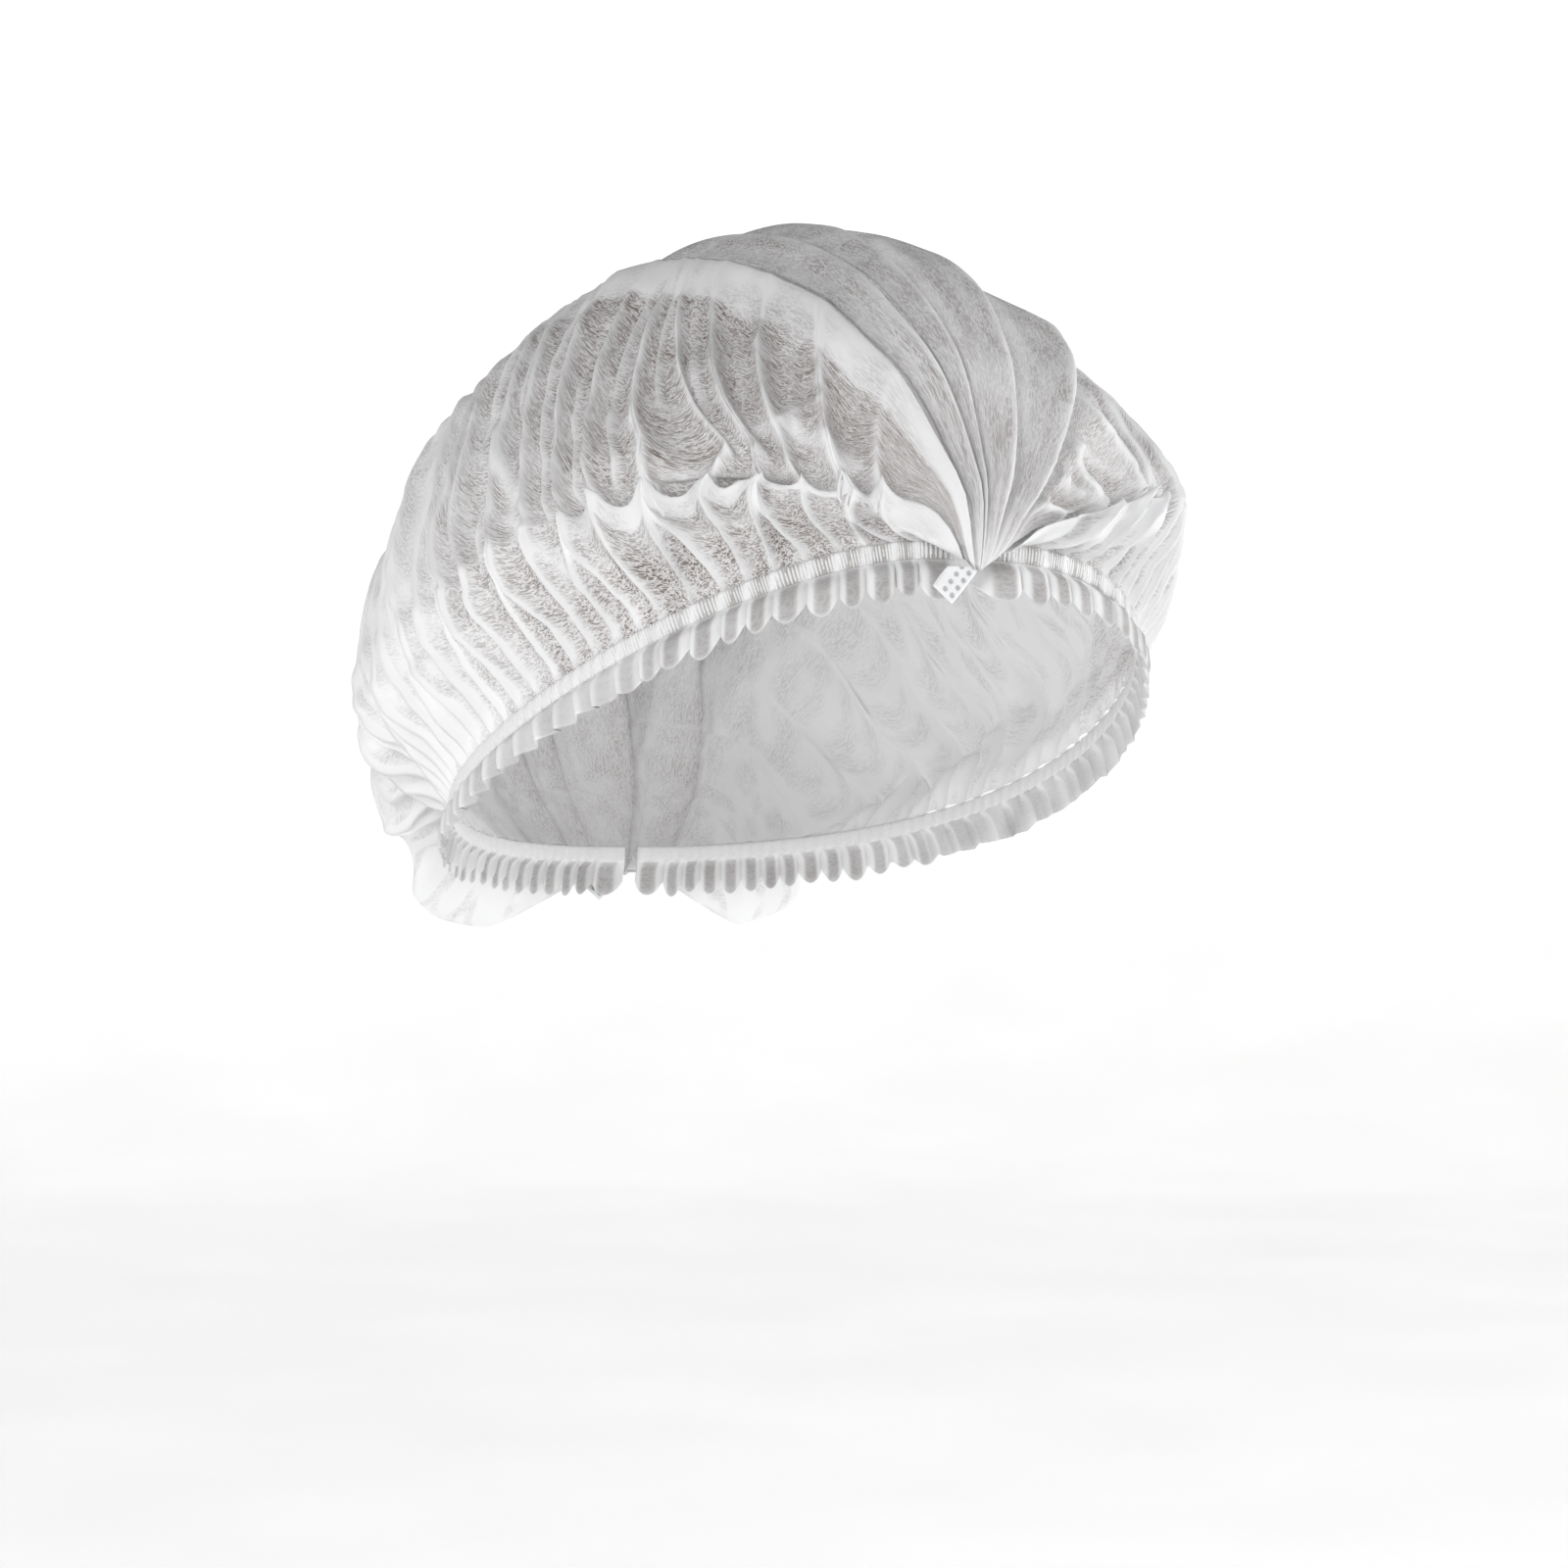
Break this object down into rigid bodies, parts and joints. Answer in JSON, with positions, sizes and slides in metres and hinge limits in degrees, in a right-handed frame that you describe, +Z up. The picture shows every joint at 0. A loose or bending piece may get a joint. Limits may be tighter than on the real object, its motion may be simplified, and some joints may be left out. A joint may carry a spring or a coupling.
{
  "type": "bouffant cap",
  "caption": "Soft disposable hair cap of thin pleated cloth, welded at front and back; its elastic edge grips the head over a ruffled frill, and the full bag covers the hair.",
  "frame": {"origin": "middle of the head opening, where the cap sits on a head", "axes": "-Y to the front weld, +X to the wearer's left, +Z up"},
  "size_m": [0.1898, 0.239, 0.1683],
  "materials": {
    "crown_cloth": "translucent white spunbond polypropylene cloth, matt with a faint sheen",
    "frill_cloth": "doubled white spunbond polypropylene hem, matt",
    "elastic": "white elastic in a crimped cloth casing, matt",
    "weld": "fused cloth layers with small round bond marks, slightly glossy"
  },
  "bodies": {
    "root": {"crown": "crown_cloth", "elastic_right": "elastic", "elastic_left": "elastic", "frill_right": "frill_cloth", "frill_left": "frill_cloth", "front_weld": "weld", "back_weld": "weld"}
  },
  "joints": []
}
